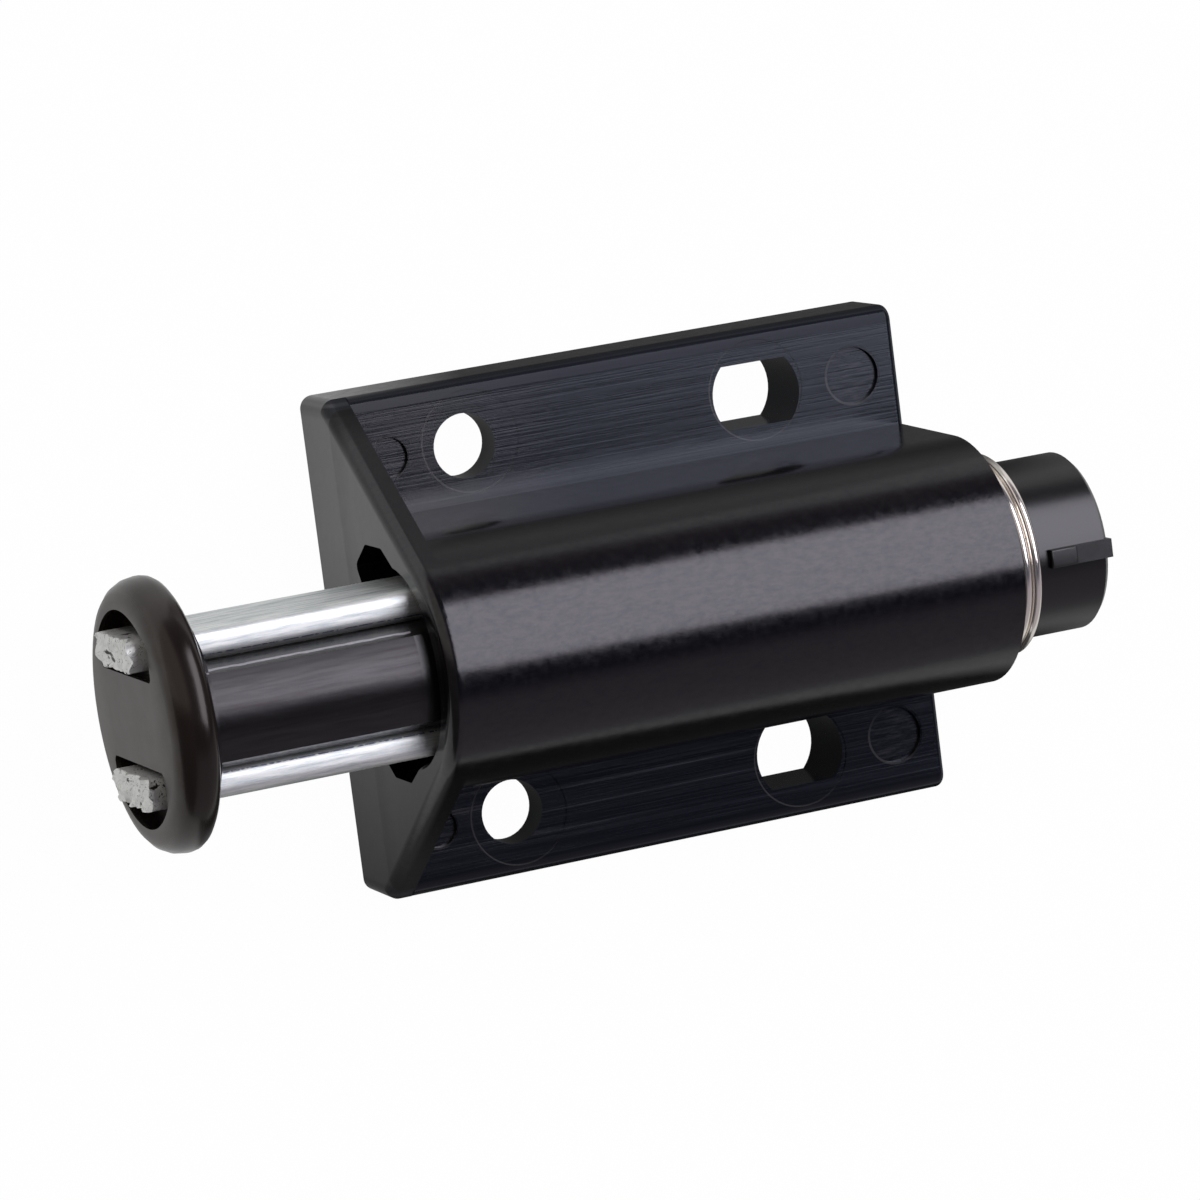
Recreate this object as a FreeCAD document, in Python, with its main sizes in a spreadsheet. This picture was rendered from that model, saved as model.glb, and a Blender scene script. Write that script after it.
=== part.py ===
"""Push to open magnetic catch: a moulded housing, a sprung plunger with two steel
pole bars and a magnet, a return spring and a wire cam follower. Millimetres.

The plunger slides along X with its head at -X. The back of the base is the plane
Z = 0, the cabinet side, and the origin is the centre of that face. Every body is
drawn from the front face of the housing: its own X starts there."""
import FreeCAD, Part
import math
import os
import Sketcher

SIZES = {
    # housing: base plate with two flanges
    "base_length": 46.2,
    "base_width": 38.0,
    "flange_thickness": 5.8,
    "flange_round": 1.2,
    "rear_corner_round": 0.6,
    "flange_overrun": 0.3,
    # housing: barrel over the plunger and the slanted wall at its front
    "axis_height": 14.85,
    "barrel_wall": 1.45,
    "wall_draft": 0.4,
    "front_wall": 2.0,
    "shoulder_height": 4.8,
    "front_round": 1.0,
    "opening_lip": 0.8,
    "opening_bevel": 0.3,
    # housing: keyway on each side of the bore, its drops and rises from the middle of it
    "key_depth": 0.7,
    "key_top_drop": 1.1,
    "key_bottom_drop": 4.4,
    "key_crown_inset": 1.65,
    "key_crown_rise": 2.6,
    "key_foot_inset": 1.05,
    "key_foot_drop": 7.0,
    "key_root_reach": 4.6,
    "key_root_drop": 5.6,
    "key_round": 0.6,
    # housing: screw holes at the front, adjusting slots at the rear
    "hole_diameter": 4.9,
    "hole_setback": 10.45,
    "hole_pitch": 24.0,
    "hole_spread": 28.0,
    "slot_length": 7.2,
    "core_depth": 3.1,
    "core_length": 9.6,
    "core_width": 7.0,
    "core_round": 1.0,
    # housing: marks of the mould's ejector pins
    "mark_spread": 28.2,
    "mark_depth": 0.35,
    "small_mark_diameter": 3.0,
    "small_mark_setback": 4.4,
    "large_mark_diameter": 4.3,
    "large_mark_setback": 3.6,
    # housing: pockets at the back that keep the wall even, three on each side
    "coring_start": 3.4,
    "coring_length": 11.6,
    "coring_rib": 1.8,
    "coring_inner": 4.3,
    "coring_outer": 8.3,
    "coring_depth": 4.4,
    "coring_round": 0.8,
    # housing: tongue behind the barrel that holds the spring's rear end
    "tongue_width": 9.0,
    "tongue_bottom": 3.2,
    "tongue_root": 1.0,
    "lip_length": 1.6,
    "lip_rise": 2.0,
    # plunger: head, neck and the collar inside the barrel
    "stroke": 14.5,
    "neck_length": 17.4,
    "head_thickness": 3.3,
    "head_radius": 10.1,
    "head_front_round": 1.65,
    "head_front_sweep": 2.05,
    "head_rear_round": 1.05,
    "root_length": 0.7,
    "root_step": 0.75,
    "core_thickness": 7.7,
    "core_crown": 6.4,
    "core_bevel": 1.65,
    "collar_gap": 0.45,
    "collar_length": 3.2,
    "tail_reach": 8.55,
    "tail_wall": 1.4,
    "tail_bevel": 0.35,
    "tail_floor": 2.5,
    "lug_width": 1.4,
    "lug_proud": 0.5,
    "lug_length": 5.2,
    "lug_nub": 2.2,
    "lug_fin": 0.3,
    "lug_overhang": 0.12,
    "lug_round": 0.15,
    "lug_root": 1.0,
    # plunger: pockets of the head around the pole bars
    "pocket_depth": 1.8,
    "pocket_chord": 3.25,
    "pocket_height": 11.3,
    "pocket_radius": 8.0,
    "pocket_round": 0.5,
    # pole bars and magnet
    "bar_height": 8.2,
    "bar_thickness": 2.35,
    "bar_round": 0.9,
    "bar_proud": 1.1,
    "bar_end": 13.5,
    "magnet_length": 12.0,
    "magnet_height": 7.2,
    "magnet_gap": 1.2,
    # cam track under the plunger and the wire follower in the base
    "cam_land_drop": 5.6,
    "cam_depth": 1.6,
    "lane_offset": 1.85,
    "lane_width": 1.6,
    "island_bevel": 0.8,
    "island_blunt": 0.2,
    "island_taper": 2.1,
    "follower_wire": 1.2,
    "follower_arm": 12.0,
    "follower_tip": 17.0,
    "follower_swing": 18.0,
    "follower_bend": 1.2,
    "arm_height": 2.8,
    "tip_room": 0.4,
    "pivot_roof": 0.7,
    "arm_room": 0.4,
    "cavity_clearance": 0.68,
    "cut_through": 1.0,
    # return spring
    "spring_wire": 0.78,
    "close_pitch": 0.82,
    "front_turns": 1,
    "active_turns": 5,
    "rear_turns": 3,
    "spring_overhang": 2.8,
    # clearances
    "bar_clearance": 0.16,
    "neck_clearance": 0.4,
    "collar_clearance": 0.85,
    "spring_clearance": 0.24,
    "tail_clearance": 0.23,
    "slide_clearance": 0.25,
    "wire_clearance": 0.15,
}

# Share of a keyway's gap that is left along its slanted sides.
SLANT_SHARE = 1.5
WIRE_SIDES = 4
FOLLOWER_SIDES = 8
HEAD_FLATS = 4
CORING_COUNT = 3
FULL_TURN = 360
# How near two lengths are taken as the same, and how many points of an edge are tried.
TOUCH = 1e-4
EDGE_POINTS = 5
LEAST_CUT = 1e-3

doc = FreeCAD.newDocument("push_catch")
sheet = doc.addObject("Spreadsheet::Sheet", "Sizes")
for row, (alias, value) in enumerate(SIZES.items(), start=1):
    sheet.set(f"A{row}", alias)
    sheet.set(f"B{row}", str(value))
    sheet.setAlias(f"B{row}", alias)
doc.recompute()


class Size:
    """A length as a number and as the expression on the sheet that gives it."""

    def __init__(self, number, text):
        self.number = float(number)
        self.text = text

    def __add__(self, other):
        other = as_size(other)
        return Size(self.number + other.number, f"({self.text} + {other.text})")

    def __sub__(self, other):
        other = as_size(other)
        return Size(self.number - other.number, f"({self.text} - {other.text})")

    def __mul__(self, other):
        other = as_size(other)
        return Size(self.number * other.number, f"({self.text} * {other.text})")

    def __truediv__(self, other):
        other = as_size(other)
        return Size(self.number / other.number, f"({self.text} / {other.text})")

    def __neg__(self):
        return Size(-self.number, f"(0 - {self.text})")


def as_size(value):
    return value if isinstance(value, Size) else Size(value, str(value))


def root(value):
    return Size(math.sqrt(value.number), f"sqrt({value.text})")


def chord(radius, distance):
    """Half the chord of a circle at a distance from its middle."""
    return root(radius * radius - distance * distance)


def reach_of(across, up):
    """How far a point lies from the middle."""
    return root(across * across + up * up)


s = type("Sizes", (), {alias: Size(value, f"Sizes.{alias}") for alias, value in SIZES.items()})
zero = as_size(0)


def new_body(name, height):
    """An empty body, named and set with its X from the front face of the housing."""
    body = doc.addObject("PartDesign::Body", name)
    body.Label = name
    body.setExpression(".Placement.Base.x", (-s.base_length / 2).text)
    body.setExpression(".Placement.Base.z", as_size(height).text)
    return body


def new_sketch(body, name, role, offset=zero):
    """A sketch on one of the body's own planes, moved along the plane's normal."""
    plane = next(item for item in body.Origin.OriginFeatures if item.Role == role)
    sketch = body.newObject("Sketcher::SketchObject", name)
    sketch.AttachmentSupport = (plane, [""])
    sketch.MapMode = "FlatFace"
    sketch.setExpression(".AttachmentOffset.Base.z", as_size(offset).text)
    return sketch


def pin(sketch, edge, end, across, up):
    """Holds a point of the sketch at expressions measured from its origin."""
    for kind, size in (("DistanceX", across), ("DistanceY", up)):
        size = as_size(size)
        index = sketch.addConstraint(Sketcher.Constraint(kind, -1, 1, edge, end, size.number))
        sketch.setExpression(f"Constraints[{index}]", size.text)


def add_circle(sketch, across, up, radius):
    across, up, radius = as_size(across), as_size(up), as_size(radius)
    middle = FreeCAD.Vector(across.number, up.number, 0)
    edge = sketch.addGeometry(Part.Circle(middle, FreeCAD.Vector(0, 0, 1), radius.number))
    pin(sketch, edge, 3, across, up)
    index = sketch.addConstraint(Sketcher.Constraint("Radius", edge, radius.number))
    sketch.setExpression(f"Constraints[{index}]", radius.text)


def add_edge(sketch, start, end, radius):
    """A line, or an arc with its middle on the left of the way from start to end."""
    first = FreeCAD.Vector(as_size(start[0]).number, as_size(start[1]).number, 0)
    last = FreeCAD.Vector(as_size(end[0]).number, as_size(end[1]).number, 0)
    if radius is None:
        return sketch.addGeometry(Part.LineSegment(first, last))
    way = last - first
    left = FreeCAD.Vector(-way.y, way.x, 0).normalize()
    middle = (first + last) / 2 + left * math.sqrt(radius.number ** 2 - (way.Length / 2) ** 2)
    begin = math.atan2(first.y - middle.y, first.x - middle.x)
    finish = math.atan2(last.y - middle.y, last.x - middle.x)
    circle = Part.Circle(middle, FreeCAD.Vector(0, 0, 1), radius.number)
    edge = sketch.addGeometry(Part.ArcOfCircle(circle, begin, finish))
    index = sketch.addConstraint(Sketcher.Constraint("Radius", edge, radius.number))
    sketch.setExpression(f"Constraints[{index}]", radius.text)
    return edge


def add_outline(sketch, corners, arcs=None, closed=True):
    """An outline through pinned corners. arcs gives, by the number of the corner that
    it starts from, the radius of an edge that is round."""
    arcs = arcs or {}
    count = len(corners) if closed else len(corners) - 1
    edges = []
    for place in range(count):
        start = corners[place]
        end = corners[(place + 1) % len(corners)]
        edge = add_edge(sketch, start, end, arcs.get(place))
        edges.append(edge)
        pin(sketch, edge, 1, start[0], start[1])
    for place in range(count if closed else count - 1):
        following = edges[(place + 1) % count]
        sketch.addConstraint(Sketcher.Constraint("Coincident", edges[place], 2, following, 1))
    if not closed:
        pin(sketch, edges[-1], 2, corners[-1][0], corners[-1][1])


def box_corners(left, right, bottom, top):
    return [(left, bottom), (right, bottom), (right, top), (left, top)]


def pad(body, name, sketch, length, backward=False):
    """Material along the sketch's normal, or against it."""
    feature = body.newObject("PartDesign::Pad", name)
    feature.Profile = sketch
    feature.Reversed = backward
    feature.setExpression("Length", as_size(length).text)
    return feature


def pocket(body, name, sketch, length, along=False):
    """A cut against the sketch's normal, or along it."""
    feature = body.newObject("PartDesign::Pocket", name)
    feature.Profile = sketch
    feature.Reversed = along
    feature.setExpression("Length", as_size(length).text)
    return feature


def round_edges(body, name, radius, wanted, kind="PartDesign::Fillet", size="Radius"):
    """Rounds or bevels the edges of the body whose points all pass the test."""
    doc.recompute()
    base = body.Tip
    names = []
    for number, edge in enumerate(base.Shape.Edges, start=1):
        points = edge.discretize(EDGE_POINTS)
        if all(wanted(point) for point in points):
            names.append(f"Edge{number}")
    if not names:
        raise ValueError(f"{name}: no edge passes the test")
    feature = body.newObject(kind, name)
    feature.Base = (base, names)
    feature.setExpression(size, as_size(radius).text)
    return feature


def near(value, size):
    return abs(value - as_size(size).number) < TOUCH


def key_outline(side, gap=zero):
    """Keyway on one side of the bore, or the ear that runs in it with a gap all round."""
    slant = gap * SLANT_SHARE
    return [
        ((key_reach - gap) * side, -s.key_top_drop - slant),
        ((key_crown_reach - slant) * side, s.key_crown_rise - slant),
        ((s.key_root_reach - gap) * side, -s.key_root_drop + slant),
        ((key_foot_reach - gap) * side, -s.key_foot_drop + slant),
        ((key_reach - gap) * side, -s.key_bottom_drop + slant),
    ]


def raised(corners, height):
    return [(across, up + height) for across, up in corners]


# The radii follow from the bars outwards: opening, bore and barrel, then what runs inside.
bar_reach = s.core_thickness / 2 + s.bar_thickness
bar_corner = reach_of(bar_reach - s.bar_round, s.bar_height / 2 - s.bar_round) + s.bar_round
opening_radius = bar_corner + s.bar_clearance
bore_radius = opening_radius + s.opening_lip
barrel_radius = bore_radius + s.barrel_wall
neck_radius = opening_radius - s.neck_clearance
root_radius = neck_radius + s.root_step
collar_radius = bore_radius - s.collar_clearance
spring_outside = bore_radius - s.spring_clearance
spring_radius = spring_outside - s.spring_wire / 2
tail_radius = spring_radius - s.spring_wire / 2 - s.tail_clearance
key_reach = bore_radius + s.key_depth
key_crown_reach = bore_radius - s.key_crown_inset
key_foot_reach = bore_radius - s.key_foot_inset

tail_end = s.base_length + s.tail_reach
spring_end = s.base_length + s.spring_overhang
follower_room = s.follower_wire / 2 + s.slide_clearance
cavity_room = s.follower_wire / 2 + s.cavity_clearance
pivot_place = s.follower_tip + s.follower_arm
swing_shift = s.follower_arm * (1 - math.cos(math.radians(SIZES["follower_swing"])))
track_end = s.follower_tip + swing_shift + follower_room
collar_start = track_end + s.collar_gap
collar_end = collar_start + s.collar_length
head_back = -s.neck_length
head_face = head_back - s.head_thickness
key_end = collar_end + s.stroke + s.slide_clearance * 2
cavity_depth = s.arm_height + s.follower_wire / 2 + s.arm_room
pivot_top = s.axis_height - bore_radius - s.pivot_roof
tip_top = s.axis_height - s.cam_land_drop + s.cam_depth - s.tip_room


def make_housing():
    """One moulding: flanged base, barrel, front wall, keyways, tongue and holes."""
    body = new_body("housing", 0)
    half = s.base_width / 2

    drawing = new_sketch(body, "flange_outline", "YZ_Plane", s.front_wall)
    add_outline(drawing, box_corners(-half, half, zero, s.flange_thickness))
    pad(body, "flanges", drawing, s.base_length + s.flange_overrun - s.front_wall)
    long_edge = lambda p: near(p.z, s.flange_thickness) and near(abs(p.y), half)
    round_edges(body, "flange_rounds", s.flange_round, long_edge)
    rear_corner = lambda p: near(p.x, s.base_length + s.flange_overrun) and near(abs(p.y), half)
    round_edges(body, "rear_corner_rounds", s.rear_corner_round, rear_corner)

    # The walls below the barrel's round spread a little towards the base, for the mould.
    foot = barrel_radius + s.wall_draft
    drawing = new_sketch(body, "barrel_wall_outline", "YZ_Plane")
    add_outline(drawing, [
        (-foot, zero), (foot, zero), (barrel_radius, s.axis_height), (-barrel_radius, s.axis_height)])
    pad(body, "barrel_walls", drawing, s.base_length)
    drawing = new_sketch(body, "barrel_outline", "YZ_Plane")
    add_circle(drawing, zero, s.axis_height, barrel_radius)
    pad(body, "barrel", drawing, s.base_length)

    # The sides of the front wall run straight from the shoulders onto the barrel's round.
    fall = s.shoulder_height - s.axis_height
    span = half * half + fall * fall
    reach = root(span - barrel_radius * barrel_radius)
    touch_out = (barrel_radius * barrel_radius * half - barrel_radius * fall * reach) / span
    touch_up = (barrel_radius * barrel_radius * fall + barrel_radius * half * reach) / span
    touch_up = touch_up + s.axis_height
    drawing = new_sketch(body, "front_wall_outline", "YZ_Plane")
    add_outline(drawing, [
        (-half, zero), (half, zero), (half, s.shoulder_height), (touch_out, touch_up),
        (-touch_out, touch_up), (-half, s.shoulder_height),
    ])
    pad(body, "front_wall_plate", drawing, s.front_wall)
    front_edge = lambda p: near(p.x, zero) and (p.z > TOUCH or near(abs(p.y), half))
    round_edges(body, "front_rounds", s.front_round, front_edge)

    # The tongue starts inside the base and ends in a lip behind the spring's last turn.
    tongue_top = s.axis_height - spring_outside - s.slide_clearance
    lip_front = spring_end + s.wire_clearance
    drawing = new_sketch(body, "tongue_outline", "XZ_Plane", -s.tongue_width / 2)
    add_outline(drawing, [
        (s.base_length - s.tongue_root, s.tongue_bottom), (lip_front + s.lip_length, s.tongue_bottom),
        (lip_front + s.lip_length, s.axis_height - tail_radius + s.lip_rise),
        (lip_front, s.axis_height - tail_radius + s.lip_rise),
        (lip_front, tongue_top), (s.base_length - s.tongue_root, tongue_top),
    ])
    pad(body, "tongue", drawing, s.tongue_width)

    drawing = new_sketch(body, "bore_outline", "YZ_Plane", s.front_wall)
    add_circle(drawing, zero, s.axis_height, bore_radius)
    pocket(body, "bore", drawing, s.base_length - s.front_wall, along=True)
    drawing = new_sketch(body, "tail_way_outline", "YZ_Plane", s.base_length)
    add_circle(drawing, zero, s.axis_height, tail_radius + s.slide_clearance)
    pocket(body, "tail_way", drawing, s.spring_overhang + s.wire_clearance + s.lip_length, along=True)
    drawing = new_sketch(body, "opening_outline", "YZ_Plane")
    add_circle(drawing, zero, s.axis_height, opening_radius)
    pocket(body, "opening", drawing, s.front_wall, along=True)
    for side, name in ((1, "left"), (-1, "right")):
        drawing = new_sketch(body, f"key_outline_{name}", "YZ_Plane")
        add_outline(drawing, raised(key_outline(side), s.axis_height))
        pocket(body, f"keyway_{name}", drawing, key_end, along=True)
    key_places = [(key_reach.number, -s.key_top_drop.number), (key_reach.number, -s.key_bottom_drop.number),
                  (key_foot_reach.number, -s.key_foot_drop.number)]
    key_corner = lambda p: any(
        near(abs(p.y), across) and near(p.z - s.axis_height.number, up) for across, up in key_places)
    round_edges(body, "key_rounds", s.key_round, key_corner)

    hole_row = s.hole_spread / 2
    slot_place = s.hole_setback + s.hole_pitch
    flat = s.hole_diameter / 2
    arc_end = chord(s.slot_length / 2, flat)
    for side, name in ((1, "left"), (-1, "right")):
        drawing = new_sketch(body, f"hole_outline_{name}", "XY_Plane", s.flange_thickness)
        add_circle(drawing, s.hole_setback, hole_row * side, s.hole_diameter / 2)
        pocket(body, f"screw_hole_{name}", drawing, s.flange_thickness)
        drawing = new_sketch(body, f"slot_outline_{name}", "XY_Plane", s.flange_thickness)
        add_outline(drawing, [
            (slot_place - arc_end, hole_row * side - flat), (slot_place + arc_end, hole_row * side - flat),
            (slot_place + arc_end, hole_row * side + flat), (slot_place - arc_end, hole_row * side + flat),
        ], {1: s.slot_length / 2, 3: s.slot_length / 2})
        pocket(body, f"screw_slot_{name}", drawing, s.flange_thickness)
        drawing = new_sketch(body, f"core_outline_{name}", "XY_Plane")
        add_outline(drawing, box_corners(
            s.hole_setback - s.core_length / 2, s.hole_setback + s.core_length / 2,
            hole_row * side - s.core_width / 2, hole_row * side + s.core_width / 2))
        pocket(body, f"core_{name}", drawing, s.core_depth, along=True)
        drawing = new_sketch(body, f"mark_outline_{name}", "XY_Plane", s.flange_thickness)
        row = s.mark_spread / 2 * side
        add_circle(drawing, s.small_mark_setback, row, s.small_mark_diameter / 2)
        large_mark_place = s.base_length - s.large_mark_setback
        add_circle(drawing, large_mark_place, row, s.large_mark_diameter / 2)
        pocket(body, f"ejector_marks_{name}", drawing, s.mark_depth)
    core_corner = lambda p: p.z < s.core_depth.number + TOUCH and (
        near(abs(p.x - s.hole_setback.number), s.core_length / 2)
        and near(abs(abs(p.y) - hole_row.number), s.core_width / 2))
    round_edges(body, "core_rounds", s.core_round, core_corner)

    # Pockets at the back beside the follower, between cross ribs.
    step = s.coring_length + s.coring_rib
    drawing = new_sketch(body, "coring_outline", "XY_Plane")
    for side in (1, -1):
        for number in range(CORING_COUNT):
            left = s.coring_start + step * number
            inner, outer = s.coring_inner * side, s.coring_outer * side
            low, high = (inner, outer) if side > 0 else (outer, inner)
            add_outline(drawing, box_corners(left, left + s.coring_length, low, high))
    pocket(body, "coring", drawing, s.coring_depth, along=True)
    coring_corner = lambda p: p.z < s.coring_depth.number + TOUCH and (
        near(abs(p.y), s.coring_inner) or near(abs(p.y), s.coring_outer)) and any(
        near(p.x - s.coring_start.number - step.number * number, edge)
        for number in range(CORING_COUNT) for edge in (zero, s.coring_length))
    round_edges(body, "coring_rounds", s.coring_round, coring_corner)

    # The follower's arm lies in a cavity open at the back, and its tip passes up a slot.
    drawing = new_sketch(body, "cavity_outline", "XY_Plane")
    add_outline(drawing, box_corners(
        s.follower_tip - cavity_room, pivot_place + cavity_room,
        -s.lane_offset - cavity_room, s.lane_offset + cavity_room))
    pocket(body, "follower_cavity", drawing, cavity_depth, along=True)
    drawing = new_sketch(body, "tip_slot_outline", "XY_Plane", cavity_depth)
    add_outline(drawing, box_corners(
        s.follower_tip - follower_room, track_end,
        -s.lane_offset - follower_room, s.lane_offset + follower_room))
    floor = s.axis_height - bore_radius - cavity_depth
    pocket(body, "tip_slot", drawing, floor + s.cut_through, along=True)
    drawing = new_sketch(body, "pivot_hole_outline", "XY_Plane", cavity_depth)
    add_circle(drawing, pivot_place, -s.lane_offset, s.follower_wire / 2 + s.wire_clearance)
    pocket(body, "pivot_hole", drawing, pivot_top + s.wire_clearance - cavity_depth, along=True)

    rim = lambda p: near(p.x, zero) and (
        p.z > s.axis_height.number
        and near(math.hypot(p.y, p.z - s.axis_height.number), opening_radius))
    round_edges(body, "opening_bevels", s.opening_bevel, rim, "PartDesign::Chamfer", "Size")
    return body


def rim_corners(across, up, sweep, rise, first, last):
    """Corners of a rim drawn with flats, between two turns about its middle in degrees."""
    turns = [math.radians(first + (last - first) * place / HEAD_FLATS) for place in range(HEAD_FLATS + 1)]
    return [(across + sweep * math.cos(turn), up + rise * math.sin(turn)) for turn in turns]


def make_plunger():
    """One moulding: disc head, neck with side channels, collar with ears, hollow tail."""
    body = new_body("plunger", s.axis_height)

    # The head is turned, with both rims drawn as narrow flats. The front rim is the fuller.
    front, sweep, rear = s.head_front_round, s.head_front_sweep, s.head_rear_round
    drawing = new_sketch(body, "head_profile", "XZ_Plane")
    add_outline(drawing, [(head_face, zero)]
                + rim_corners(head_face + sweep, s.head_radius - front, sweep, front, 180, 90)
                + rim_corners(head_back - rear, s.head_radius - rear, rear, rear, 90, 0) + [(head_back, zero)])
    head = body.newObject("PartDesign::Revolution", "head_disc")
    head.Profile = drawing
    head.ReferenceAxis = (drawing, ["H_Axis"])
    head.Angle = FULL_TURN
    drawing = new_sketch(body, "root_outline", "YZ_Plane", head_back)
    add_circle(drawing, zero, zero, root_radius)
    pad(body, "neck_root", drawing, s.root_length)

    # Neck: a slab between the bars with a round crown above and below.
    half = s.core_thickness / 2
    crown = s.core_crown / 2
    crown_up = chord(neck_radius, crown)
    edge_up = crown_up - s.core_bevel
    drawing = new_sketch(body, "neck_outline", "YZ_Plane", head_back)
    add_outline(drawing, [
        (half, -edge_up), (half, edge_up), (crown, crown_up), (-crown, crown_up),
        (-half, edge_up), (-half, -edge_up), (-crown, -crown_up), (crown, -crown_up),
    ], {2: neck_radius, 6: neck_radius})
    pad(body, "neck", drawing, s.neck_length + s.bar_end)

    drawing = new_sketch(body, "shank_outline", "YZ_Plane", s.bar_end)
    add_circle(drawing, zero, zero, neck_radius)
    pad(body, "shank", drawing, collar_start - s.bar_end)
    drawing = new_sketch(body, "collar_outline", "YZ_Plane", collar_start)
    add_circle(drawing, zero, zero, collar_radius)
    pad(body, "collar", drawing, s.collar_length)
    for side, name in ((1, "left"), (-1, "right")):
        drawing = new_sketch(body, f"ear_outline_{name}", "YZ_Plane", collar_start)
        add_outline(drawing, key_outline(side, s.slide_clearance))
        pad(body, f"ear_{name}", drawing, s.collar_length)
    drawing = new_sketch(body, "tail_outline", "YZ_Plane", collar_end)
    add_circle(drawing, zero, zero, tail_radius)
    pad(body, "tail", drawing, tail_end - collar_end)
    tail_rim = lambda p: near(p.x, tail_end)
    round_edges(body, "tail_bevel_cut", s.tail_bevel, tail_rim, "PartDesign::Chamfer", "Size")

    # The lug is a short nub with a lower fin that runs on past the end of the tail.
    lug_start = tail_end + s.lug_overhang - s.lug_length
    drawing = new_sketch(body, "lug_outline", "XZ_Plane", -s.lug_width / 2)
    add_outline(drawing, [
        (lug_start, tail_radius - s.lug_root), (tail_end + s.lug_overhang, tail_radius - s.lug_root),
        (tail_end + s.lug_overhang, tail_radius + s.lug_fin),
        (lug_start + s.lug_nub, tail_radius + s.lug_fin),
        (lug_start + s.lug_nub, tail_radius + s.lug_proud),
        (lug_start, tail_radius + s.lug_proud),
    ])
    pad(body, "lug", drawing, s.lug_width)
    nub_top = tail_radius + s.lug_proud
    nub_edge = lambda p: near(p.z, nub_top)
    round_edges(body, "lug_rounds", s.lug_round, nub_edge)

    drawing = new_sketch(body, "tail_bore_outline", "YZ_Plane", collar_end + s.tail_floor)
    add_circle(drawing, zero, zero, tail_radius - s.tail_wall)
    pocket(body, "tail_bore", drawing, tail_end - collar_end - s.tail_floor, along=True)

    # Pockets in the head's face, and the ways that the bars pass through it.
    pocket_up = s.pocket_height / 2
    pocket_out = chord(s.pocket_radius, pocket_up)
    for side, name in ((1, "left"), (-1, "right")):
        drawing = new_sketch(body, f"head_pocket_outline_{name}", "YZ_Plane", head_face)
        corners = [(s.pocket_chord, -pocket_up), (pocket_out, -pocket_up),
                   (pocket_out, pocket_up), (s.pocket_chord, pocket_up)]
        if side < 0:
            corners = [(-across, -up) for across, up in corners]
        add_outline(drawing, corners, {1: s.pocket_radius})
        pocket(body, f"head_pocket_{name}", drawing, s.pocket_depth, along=True)
        pocket_corner = lambda p: p.x < head_face.number + s.pocket_depth.number + TOUCH and any(
            near(p.y * side, across) and near(abs(p.z), pocket_up) for across in (s.pocket_chord, pocket_out))
        round_edges(body, f"pocket_rounds_{name}", s.pocket_round, pocket_corner)
        drawing = new_sketch(body, f"bar_way_outline_{name}", "YZ_Plane", head_face)
        near_side = s.core_thickness / 2 * side
        far_side = bar_reach * side
        add_outline(drawing, box_corners(near_side, far_side, -s.bar_height / 2, s.bar_height / 2))
        pocket(body, f"bar_way_{name}", drawing, s.head_thickness + s.root_length, along=True)

    drawing = new_sketch(body, "magnet_window_outline", "XZ_Plane", -s.core_thickness / 2)
    magnet_start = head_back + s.magnet_gap
    add_outline(drawing, box_corners(
        magnet_start, magnet_start + s.magnet_length, -s.magnet_height / 2, s.magnet_height / 2))
    pocket(body, "magnet_window", drawing, s.core_thickness, along=True)

    make_cam_track(body)
    return body


def make_cam_track(body):
    """Land under the neck, with a heart shaped island between an inward and a return lane."""
    room = follower_room
    track_start = s.follower_tip - s.stroke - room
    wide = s.lane_offset + s.lane_width / 2
    slim = s.lane_offset - s.lane_width / 2
    drawing = new_sketch(body, "cam_land_outline", "XY_Plane", -s.cam_land_drop)
    add_outline(drawing, box_corners(
        track_start - s.cut_through, collar_start, -neck_radius, neck_radius))
    pocket(body, "cam_land", drawing, neck_radius - s.cam_land_drop)
    drawing = new_sketch(body, "cam_track_outline", "XY_Plane", -s.cam_land_drop)
    add_outline(drawing, box_corners(track_start, track_end, -wide, wide))
    # The island: its notch faces the track's inner end, where the tip comes to rest.
    notch = s.follower_tip - s.stroke + s.follower_wire + room
    point = s.follower_tip - s.follower_wire - room
    add_outline(drawing, [
        (notch + room, zero), (notch, s.island_blunt - slim), (notch + s.island_bevel, -slim),
        (point - s.island_taper, -slim), (point, zero), (point - s.island_taper, slim),
        (notch + s.island_bevel, slim), (notch, slim - s.island_blunt),
    ])
    pocket(body, "cam_track", drawing, s.cam_depth, along=True)


def make_bar(name, side):
    """Flat steel bar in a channel of the neck, a little proud of the head's face."""
    body = new_body(name, s.axis_height)
    drawing = new_sketch(body, f"{name}_outline", "YZ_Plane", head_face - s.bar_proud)
    inner = s.core_thickness / 2
    outer = bar_reach
    up = s.bar_height / 2
    turn = s.bar_round
    corners = [
        (inner, -up), (outer - turn, -up), (outer, turn - up), (outer, up - turn),
        (outer - turn, up), (inner, up),
    ]
    if side < 0:
        corners = [(-across, -rise) for across, rise in corners]
    add_outline(drawing, corners, {1: turn, 3: turn})
    pad(body, f"{name}_bar", drawing, s.bar_end - head_face + s.bar_proud)
    return body


def make_magnet():
    """Ceramic block between the two bars, in the window of the neck."""
    body = new_body("magnet", s.axis_height)
    drawing = new_sketch(body, "magnet_outline", "XZ_Plane", -s.core_thickness / 2)
    magnet_start = head_back + s.magnet_gap
    add_outline(drawing, box_corners(
        magnet_start, magnet_start + s.magnet_length, -s.magnet_height / 2, s.magnet_height / 2))
    pad(body, "magnet_block", drawing, s.core_thickness)
    return body


def wire_corners(across, up, radius, sides):
    """Corners of a wire's section, drawn with flats."""
    turns = [2 * math.pi * side / sides for side in range(sides)]
    return [(across + radius * math.cos(turn), up + radius * math.sin(turn)) for turn in turns]


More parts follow.
